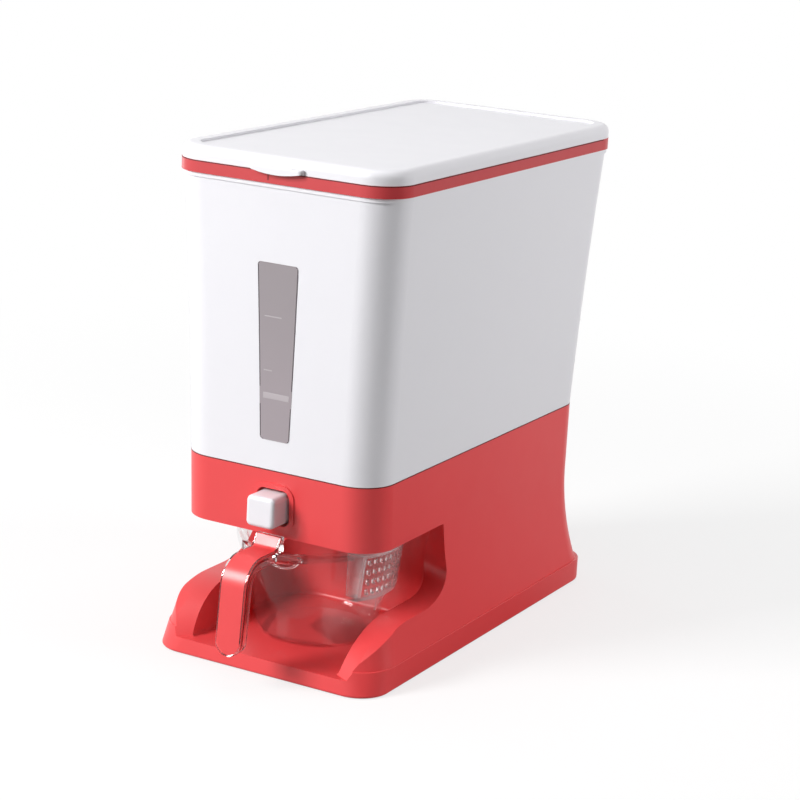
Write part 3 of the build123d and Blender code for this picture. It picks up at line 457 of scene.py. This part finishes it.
# %% Leave a bead and lay the pane on the wall
BEAD = 0.75 * MM
FACE_IN = 0.1 * MM                 # the face lies this far behind the bead
BIG_FACE = (10 * MM) ** 2          # the bead's own faces are smaller
CUTS = 10
LEVEL_DIGITS = 6                   # levels are told apart to a thousandth of a millimetre
pick(pane, "FACE", faces_front)
bpy.ops.mesh.inset(thickness=BEAD, depth=0)
pick(pane, "FACE", lambda f: faces_front(f) and f.calc_area() > BIG_FACE)
bpy.ops.transform.translate(value=(0, FACE_IN, 0))
for step in range(1, CUTS):
    cut_across(WINDOW_LOW + (WINDOW_HIGH - WINDOW_LOW) * step / CUTS)


def along_the_wall(at):
    """Each level slides by how far the tank's front there differs from its front at the foot."""
    height = round(at.z, LEVEL_DIGITS)
    return height, (0, tank_front(height) - flat_y, 0)


print("window levels that follow the wall:", follow(pane, along_the_wall))
bpy.ops.object.mode_set(mode="OBJECT")

# %% Finish the window
bead_smoke = moulded("window_bead_smoke", (0.085, 0.070, 0.080), (0.075, 0.06, 0.07), 0.45)
BEAD_SLOT = 1                      # the pane's second material
pane.data.materials.append(smoke)
pane.data.materials.append(bead_smoke)


def on_the_bead(face):
    """The bead's faces and the pane's edge stand nearer to the front than the pane's face."""
    middle = face.calc_center_median()
    return middle.y < tank_front(middle.z) - PANE_T + FACE_IN / 2


bpy.ops.object.mode_set(mode="EDIT")
print("bead faces:", pick(pane, "FACE", on_the_bead), "of", len(pane.data.polygons))
pane.active_material_index = BEAD_SLOT
bpy.ops.object.material_slot_assign()
bpy.ops.object.mode_set(mode="OBJECT")
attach(pane, "stand")
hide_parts("window")

# %% [markdown]
# ### Level marks
#
# Fine raised lines on the pane mark the level. They could be painted, but a raised line catches the
# light along its edge. Each is a thin bar with softened front edges, and a loop makes all three,
# because they differ only in height and length.

# %% Put the level marks on
MARK_LEFT = -10.2 * MM
MARK_T = 0.12 * MM
MARK_EDGE = 0.08 * MM
MARK_PLACES = (                    # each mark's foot, head and right end
    (260.0 * MM, 260.8 * MM, 3.5 * MM),
    (221.2 * MM, 222.0 * MM, -3.4 * MM),
    (201.3 * MM, 205.5 * MM, 11.0 * MM),
)
mark_smoke = moulded("mark_smoke", (0.44, 0.395, 0.415), (0.41, 0.37, 0.39), 0.4)
for number, (foot, head, end) in enumerate(MARK_PLACES, 1):
    face = tank_front((foot + head) / 2) - PANE_T + FACE_IN
    mark = block(f"level_mark_{number}", (MARK_LEFT, face - MARK_T, foot), (end, face, head))
    bpy.ops.object.mode_set(mode="EDIT")
    pick(mark, "FACE", faces_front)
    bpy.ops.mesh.bevel(offset=MARK_EDGE, segments=2, affect="EDGES")
    bpy.ops.object.mode_set(mode="OBJECT")
    mark.data.materials.append(mark_smoke)
    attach(mark, "stand")
    print(f"{mark.name} at {foot / MM:.1f} mm, {mark.dimensions.x / MM:.1f} mm long")

# %% [markdown]
# ## Painted shadow lines along the seams
#
# The lid rests on the red band, and the tank stands on the head, with a fine gap whose shade
# reads as a dark line. A real gap would be cut into the parts, which stay as they are here. So the
# shade is painted: each line is a dark block of the wall's outline with rounded corners. It loses
# its top and bottom faces, is shrunk onto the wall and given a little thickness.

# %% A painted shadow line round a wall
# painted shade: this dark red stands in for the shadow inside each seam's gap
gap_shadow_paint = moulded("painted_gap_shadow_red", (0.13, 0.010, 0.013), (0.11, 0.008, 0.010), 0.6)
SEAM_CORNER = 26.0 * MM            # both walls have about this corner
LINE_T = 0.1 * MM


def seam_shadow_line(name, wall, low, high):
    """A thin dark strip of painted shadow round a wall, between two corners of its box."""
    strip = block(name, low, high)
    bpy.ops.object.mode_set(mode="EDIT")
    pick(strip, "EDGE", lambda e: runs(e, Z, (high[2] - low[2]) / 2))
    bpy.ops.mesh.bevel(offset=SEAM_CORNER, segments=20, affect="EDGES")
    pick(strip, "FACE", lambda f: abs(f.normal.z) > 0.9)
    bpy.ops.mesh.delete(type="ONLY_FACE")
    bpy.ops.object.mode_set(mode="OBJECT")
    shrink = strip.modifiers.new("onto the wall", "SHRINKWRAP")
    shrink.target = wall
    bpy.ops.object.modifier_apply(modifier=shrink.name)
    body = strip.modifiers.new("thickness", "SOLIDIFY")
    body.thickness = LINE_T
    body.offset = 1
    bpy.ops.object.modifier_apply(modifier=body.name)
    strip.data.materials.append(gap_shadow_paint)
    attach(strip, "stand")
    print(name, "size in mm:", [round(v / MM, 1) for v in strip.dimensions])


# %% The painted shadow line under the lid
BAND_HALF, BAND_END = 91.0 * MM, 179.0 * MM   # the band's outline, half across and half deep
LID_LINE_LOW, LID_LINE_HIGH = 361.8 * MM, 362.6 * MM
HINGE_FRONT = 150 * MM             # the line stops before the hinge
seam_shadow_line("lid_shadow_line", nodes["collar"],
          (-BAND_HALF, -BAND_END, LID_LINE_LOW), (BAND_HALF, BAND_END, LID_LINE_HIGH))
bpy.ops.object.mode_set(mode="EDIT")
bpy.ops.mesh.select_all(action="SELECT")
bpy.ops.mesh.bisect(plane_co=(0, HINGE_FRONT, 0), plane_no=(0, 1, 0),
                    clear_outer=True, use_fill=True)
bpy.ops.object.mode_set(mode="OBJECT")
print(f"the lid's line ends {HINGE_FRONT / MM:.0f} mm behind the middle")

# %% The painted shadow line under the tank
HEAD_HALF = 82.3 * MM              # the outline of the head's top edge
HEAD_FRONT, HEAD_BACK = -168.4 * MM, 163.7 * MM
TANK_LINE_LOW, TANK_LINE_HIGH = 148.8 * MM, 149.6 * MM
seam_shadow_line("tank_shadow_line", nodes["base"],
          (-HEAD_HALF, HEAD_FRONT, TANK_LINE_LOW), (HEAD_HALF, HEAD_BACK, TANK_LINE_HIGH))

# %% [markdown]
# ### The catch mark
#
# The photograph shows a small upright mark on the band under the lid's tab. It could be a spot of
# darker colour, but a pip with a rim keeps its look from every side. A cube with rounded corners
# and a slightly sunk face is enough for a thing of a few millimetres.

# %% Model the catch mark
PIP_X, PIP_HALF = -7.8 * MM, 0.6 * MM
PIP_LOW, PIP_HIGH, PIP_T = 356.0 * MM, 360.2 * MM, 0.25 * MM
PIP_CORNER, PIP_RIM, PIP_DISH = 0.35 * MM, 0.2 * MM, 0.1 * MM
pip = block("catch_mark", (PIP_X - PIP_HALF, -BAND_END - PIP_T, PIP_LOW),
            (PIP_X + PIP_HALF, -BAND_END, PIP_HIGH))
bpy.ops.object.mode_set(mode="EDIT")
pick(pip, "EDGE", lambda e: runs(e, Y, PIP_T / 2))
bpy.ops.mesh.bevel(offset=PIP_CORNER, segments=3, affect="EDGES")
pick(pip, "FACE", faces_front)
bpy.ops.mesh.inset(thickness=PIP_RIM, depth=-PIP_DISH)
bpy.ops.object.mode_set(mode="OBJECT")
pip.data.materials.append(moulded("mark_red", (0.30, 0.024, 0.028), (0.27, 0.02, 0.024), 0.5))
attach(pip, "stand")
print("catch mark faces:", len(pip.data.polygons))

# %% [markdown]
# ## The cup's small clear parts
#
# A clear arch runs round the handle's root on the bowl's wall. It is a ring of round section, cut
# in half and squashed, and its vertices then slide back until they lie on the curved bowl, in steps
# of half a millimetre. A small gusset joins the bowl's wall to the floor of the strainer's pod. It
# is a block whose inner edge lies on the wall and whose outer edge sweeps out. Both catch the light
# as bright lines.

# %% Model the arch at the handle's root
ARCH_HALF, ARCH_DROP = 15.0 * MM, 11.5 * MM
ARCH_TOP = 84.5 * MM               # the underside of the cup's rim
ARCH_R = 1.15 * MM
CUP_Y = -99.0 * MM
bpy.ops.object.select_all(action="DESELECT")
bpy.ops.mesh.primitive_torus_add(major_segments=48, minor_segments=12,
                                 major_radius=ARCH_HALF, minor_radius=ARCH_R,
                                 location=(0, CUP_Y, ARCH_TOP), rotation=(radians(90), 0, 0))
arch = bpy.context.object
arch.name = "handle_arch"
bpy.ops.object.transform_apply(location=True, rotation=True, scale=True)
bpy.ops.object.mode_set(mode="EDIT")
bpy.ops.mesh.select_all(action="SELECT")
bpy.ops.mesh.bisect(plane_co=(0, 0, ARCH_TOP), plane_no=(0, 0, 1),
                    clear_outer=True, use_fill=True)
bpy.ops.mesh.select_all(action="SELECT")
bpy.ops.transform.resize(value=(1, 1, ARCH_DROP / ARCH_HALF), center_override=(0, CUP_Y, ARCH_TOP))
print("arch vertices:", pick(arch, "VERT", lambda v: True))

# %% Seat the arch on the bowl
IN_THE_GAP = -163 * MM             # rays start between the handle and the bowl
BELOW_RIM = 0.5                    # and at least this many millimetres below the rim


def half_millimetres(value):
    """A length in millimetres, to the nearest half."""
    return round(value / MM * 2) / 2


def onto_bowl(at):
    """The bowl's wall curves away to both sides and draws in towards its foot."""
    side = half_millimetres(at.x) * MM
    height = min(half_millimetres(at.z), ARCH_TOP / MM - BELOW_RIM) * MM
    wall = first_hit(nodes["cup"], (side, IN_THE_GAP, height), (0, 1, 0))
    return (side, height), (0, wall.y - CUP_Y, 0)


print("arch moves onto the bowl in", follow(arch, onto_bowl), "steps")
bpy.ops.object.mode_set(mode="OBJECT")
bpy.ops.object.shade_smooth()
arch.data.materials.append(milky)
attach(arch, "cup_body")

# %% Cut the fin under the pod
FIN_TOP, FIN_FOOT = 51.6 * MM, 37.0 * MM
FIN_T = 1.8 * MM
FIN_IN, FIN_OUT = 49 * MM, 51 * MM   # where its two edges stand before they slide
FIN_CUTS = (39 * MM, 41 * MM, 44 * MM, 46.5 * MM, 49 * MM)
fin = block("pod_fin", (FIN_IN, CUP_Y - FIN_T / 2, FIN_FOOT), (FIN_OUT, CUP_Y + FIN_T / 2, FIN_TOP))
bpy.ops.object.mode_set(mode="EDIT")
for height in FIN_CUTS:
    cut_across(height)
print("fin levels:", len(FIN_CUTS) + 2)

# %% Sweep the fin out to the pod's floor
POD_FLOOR = 51 * MM                # rays stay under it and hit the bowl's wall
FIN_ROOT = 0.3 * MM                # the inner edge lies this deep in the wall
FIN_LEAST = 0.5 * MM               # the outer edge stands this proud of it at the foot
FIN_REACH, FIN_SWEEP = 5.6 * MM, 1.6   # and this much more at the top, along a curve
FIN_SOFT = 0.35 * MM
SMOOTH_ANGLE = radians(40)         # sharper edges stay sharp


def flared(at):
    """The inner edge lies on the bowl's wall, the outer edge sweeps out to the pod's floor."""
    height = round(at.z, LEVEL_DIGITS)
    wall = first_hit(nodes["cup"], (OUTSIDE, CUP_Y, min(height, POD_FLOOR)), (-1, 0, 0))
    rise = (height - FIN_FOOT) / (FIN_TOP - FIN_FOOT)
    if at.x > (FIN_IN + FIN_OUT) / 2:
        edge = wall.x + FIN_LEAST + FIN_REACH * rise ** FIN_SWEEP
        return ("outer", height), (edge - FIN_OUT, 0, 0)
    return ("inner", height), (wall.x - FIN_ROOT - FIN_IN, 0, 0)


follow(fin, flared)
pick(fin, "EDGE", lambda e: runs(e, Z, MM))
bpy.ops.mesh.bevel(offset=FIN_SOFT, segments=2, affect="EDGES")
bpy.ops.object.mode_set(mode="OBJECT")
bpy.ops.object.shade_smooth_by_angle(angle=SMOOTH_ANGLE)
fin.data.materials.append(milky)
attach(fin, "cup_body")
print("fin size in mm:", [round(v / MM, 1) for v in fin.dimensions])

# %% [markdown]
# ## The return spring
#
# A spring is wound from round wire, so it is a small circle carried along a screw line. The packed
# spring is rigid, but the real one shortens when the button is pushed. So this coil, with the same
# wire and turns, stands for it.

# %% Draw the wire's section
WIRE_R, COIL_R, TURNS = 0.5 * MM, 4.0 * MM, 7
coil_low, coil_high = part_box("return_spring")
coil_z = (coil_low.z + coil_high.z) / 2
coil_length = coil_high.y - coil_low.y
bpy.ops.object.select_all(action="DESELECT")
bpy.ops.mesh.primitive_circle_add(vertices=10, radius=WIRE_R,
                                  location=(0, coil_low.y + WIRE_R, coil_z))
coil = bpy.context.object
coil.name = "return_coil"
bpy.ops.object.mode_set(mode="EDIT")
bpy.ops.mesh.select_all(action="SELECT")
bpy.ops.transform.translate(value=(COIL_R, 0, 0))
bpy.ops.object.mode_set(mode="OBJECT")
print(f"packed spring from {coil_low.y / MM:.2f} to {coil_high.y / MM:.2f} mm")

# %% Wind the spring
winding = coil.modifiers.new("winding", "SCREW")
winding.axis = "Y"
winding.iterations = TURNS
winding.steps = winding.render_steps = 24
winding.screw_offset = (coil_length - 2 * WIRE_R) / TURNS
bpy.ops.object.modifier_apply(modifier=winding.name)
bpy.ops.object.mode_set(mode="EDIT")
bpy.ops.mesh.select_all(action="SELECT")
bpy.ops.mesh.fill_holes(sides=12)
bpy.ops.mesh.select_all(action="SELECT")
bpy.ops.mesh.normals_make_consistent(inside=False)
bpy.ops.object.mode_set(mode="OBJECT")
bpy.ops.object.transform_apply(location=True, rotation=True, scale=True)
bpy.ops.object.shade_smooth_by_angle(angle=SMOOTH_ANGLE)
print("coil size in mm:", [round(v / MM, 2) for v in coil.dimensions])

# %% Finish the spring and put it in place of the packed one
coil.data.materials.append(steel)
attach(coil, "stand")
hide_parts("return_spring")
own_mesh(coil)

# %% [markdown]
# ## Camera
#
# The photograph was taken from the front right and a little above, with a long lens and the camera
# rolled a few degrees. A camera could be pushed about until the picture fits. This one is placed
# from its angles and its distance, which were worked out from the object's straight edges.

# %% Set up the camera
AZIMUTH = radians(28.67)
ELEVATION = radians(14.71)
ROLL = radians(3.266)
DISTANCE = 1.7751
AIM = Vector((0, 0, 0.186))
SHIFT_RIGHT = 0.00412              # the picture's centre lies this far right of the aim point
SHIFT_UP = -0.01846                # and this far up, so below it
LENS = 105.1
SENSOR = 36.0

back = Vector((sin(AZIMUTH) * cos(ELEVATION), -cos(AZIMUTH) * cos(ELEVATION), sin(ELEVATION)))
level_right = Vector((cos(AZIMUTH), sin(AZIMUTH), 0))
level_up = back.cross(level_right)
right = level_right * cos(ROLL) + level_up * sin(ROLL)
up = level_up * cos(ROLL) - level_right * sin(ROLL)
camera_data = bpy.data.cameras.new("camera")
camera_data.lens = LENS
camera_data.sensor_width = SENSOR
camera_data.clip_start = 0.05
camera = bpy.data.objects.new("camera", camera_data)
stands_at = AIM + right * SHIFT_RIGHT + up * SHIFT_UP + back * DISTANCE
camera.matrix_world = Matrix((
    (right.x, up.x, back.x, stands_at.x),
    (right.y, up.y, back.y, stands_at.y),
    (right.z, up.z, back.z, stands_at.z),
    (0, 0, 0, 1)))
bpy.context.scene.collection.objects.link(camera)
bpy.context.scene.camera = camera
print("camera stands at", [round(v, 3) for v in stands_at])

# %% [markdown]
# ## Floor and backdrop
#
# The photograph's background is pure white, and the object still throws a soft shadow on the floor.
# A glowing floor would wash the shadow out, and a lit one would be grey. So the floor is pale paper
# mixed with a white glow, and only the rays that look at it see the glow. It grows to pure white
# away from the object. The world is white for the same rays. Glossy sides also need something dark
# to reflect, as in a studio with its right side curtained off.


# %% Sort the rays
def background_rays(tree):
    """1 for rays that look at the background: the camera's, through clear plastic, off gloss."""
    path = tree.nodes.new("ShaderNodeLightPath")
    seen = math_node(tree, "MAXIMUM", path.outputs["Is Camera Ray"],
                     path.outputs["Is Transmission Ray"])
    return path, math_node(tree, "MAXIMUM", seen, path.outputs["Is Glossy Ray"])


def vector_node(tree, operation, source, other=None):
    """A vector maths node on another node's vector, and on a fixed one where it takes two."""
    node = tree.nodes.new("ShaderNodeVectorMath")
    node.operation = operation
    tree.links.new(source, node.inputs[0])
    if other is not None:
        node.inputs[1].default_value = other
    return node


# %% Keep one side of the studio dark
DARK_AZIMUTH = radians(84)         # the middle of the dark side, which only gloss shows
DARK_EDGE, DARK_FULL = radians(95), radians(30)   # how far from there it begins, and is full
DARK_DIRECTION = (sin(DARK_AZIMUTH), -cos(DARK_AZIMUTH), 0)


def white_but_dark_side(tree, path, coordinate):
    """Strength 1, and 0 where a glossy ray goes towards the dark side of the studio."""
    flat = vector_node(tree, "MULTIPLY", coordinate, (1, 1, 0)).outputs["Vector"]
    unit = vector_node(tree, "NORMALIZE", flat).outputs["Vector"]
    along = vector_node(tree, "DOT_PRODUCT", unit, DARK_DIRECTION).outputs["Value"]
    side = spread_range(tree, along, cos(DARK_EDGE), cos(DARK_FULL), 0.0, 1.0)
    dark = math_node(tree, "MULTIPLY", side, path.outputs["Is Glossy Ray"])
    return math_node(tree, "SUBTRACT", 1.0, dark)


# %% Mix the floor's paper
LIT_GREY, SEEN_GREY = 0.36, 0.9    # the paper's grey for bounced light, and for the camera
NEAR, FAR = 0.35, 1.1              # the glow grows between these distances, in metres
NEAR_GLOW = 0.72
floor_material, tree, paper, texture_coords = new_material("floor_paper")
paper.inputs["Roughness"].default_value = 0.9
coords = texture_coords.outputs["Object"]
path, seen = background_rays(tree)
paper_grey = spread_range(tree, path.outputs["Is Camera Ray"], 0.0, 1.0, LIT_GREY, SEEN_GREY)
tree.links.new(paper_grey, paper.inputs["Base Color"])
glow = tree.nodes.new("ShaderNodeEmission")
tree.links.new(white_but_dark_side(tree, path, coords), glow.inputs["Strength"])
reach = vector_node(tree, "LENGTH", coords).outputs["Value"]
by_distance = spread_range(tree, reach, NEAR, FAR, NEAR_GLOW, 1.0)
white_share = math_node(tree, "MULTIPLY", seen, by_distance)
surface = mix_shaders(tree, white_share, paper.outputs["BSDF"], glow.outputs["Emission"])
tree.links.new(surface, tree.nodes["Material Output"].inputs["Surface"])
print("floor nodes:", len(tree.nodes))

# %% Lay the floor
FLOOR_R = 12.0
FLOOR_DROP = 0.5 * MM              # it lies this far under the object
bpy.ops.object.select_all(action="DESELECT")
bpy.ops.mesh.primitive_circle_add(vertices=64, radius=FLOOR_R, fill_type="NGON",
                                  location=(0, 0, -FLOOR_DROP))
floor = bpy.context.object
floor.name = "floor"
floor.data.materials.append(floor_material)
bpy.ops.object.transform_apply(location=True)
floor.select_set(False)
print("floor radius in metres:", FLOOR_R)

# %% Light the world
ROOM_LIGHT = 0.10                  # what the world adds to the lamps
world = bpy.data.worlds.new("studio")
bpy.context.scene.world = world
world.use_nodes = True
tree = world.node_tree
soft = tree.nodes["Background"]
soft.inputs["Color"].default_value = (1, 1, 1, 1)
soft.inputs["Strength"].default_value = ROOM_LIGHT
path, seen = background_rays(tree)
white_sky = tree.nodes.new("ShaderNodeBackground")
white_sky.inputs["Color"].default_value = (1, 1, 1, 1)
direction = tree.nodes.new("ShaderNodeTexCoord").outputs["Generated"]
tree.links.new(white_but_dark_side(tree, path, direction), white_sky.inputs["Strength"])
surface = mix_shaders(tree, seen, soft.outputs["Background"], white_sky.outputs["Background"])
tree.links.new(surface, tree.nodes["World Output"].inputs["Surface"])
print("world nodes:", len(tree.nodes))

# %% [markdown]
# ## Lamps
#
# The front is brightest, the corner beside it dark, and the right side in between. One strong box
# from the front left lights the front, and one on the right, a little behind, lights the side. A
# large lamp close by would give soft shadows, but the photograph's are crisp under the button, so
# the first box stands far away. The rest only lift the left side and the top. The two that stand
# further back don't show in glossy surfaces.


# %% Hang the lamps
def soft_box(name, azimuth, elevation, distance, size, watts, in_gloss=True):
    """An area lamp that looks at the middle of the object. Angles in degrees, sizes in metres."""
    lamp_data = bpy.data.lights.new(name, "AREA")
    lamp_data.shape = "RECTANGLE"
    lamp_data.size, lamp_data.size_y = size
    lamp_data.energy = watts
    lamp = bpy.data.objects.new(name, lamp_data)
    a, e = radians(azimuth), radians(elevation)
    towards = Vector((sin(a) * cos(e), -cos(a) * cos(e), sin(e)))
    lamp.location = AIM + towards * distance
    lamp.rotation_euler = towards.to_track_quat("Z", "Y").to_euler()
    lamp.visible_glossy = in_gloss
    bpy.context.scene.collection.objects.link(lamp)
    print(name, "at", [round(v, 2) for v in lamp.location])


soft_box("front_left_box", azimuth=-33, elevation=28, distance=3.2, size=(1.15, 1.3), watts=122)
soft_box("right_back_box", azimuth=115, elevation=14, distance=2.4, size=(1.2, 1.8), watts=42,
         in_gloss=False)
soft_box("left_back_box", azimuth=-150, elevation=10, distance=2.4, size=(1.2, 1.8), watts=8,
         in_gloss=False)
soft_box("left_strip", azimuth=-105, elevation=12, distance=1.5, size=(0.22, 1.0), watts=2)
soft_box("top_box", azimuth=0, elevation=85, distance=2.4, size=(1.6, 1.6), watts=15)

# %% [markdown]
# ## The colour view
#

# %% Finish
bpy.context.scene.view_settings.view_transform = "Standard"
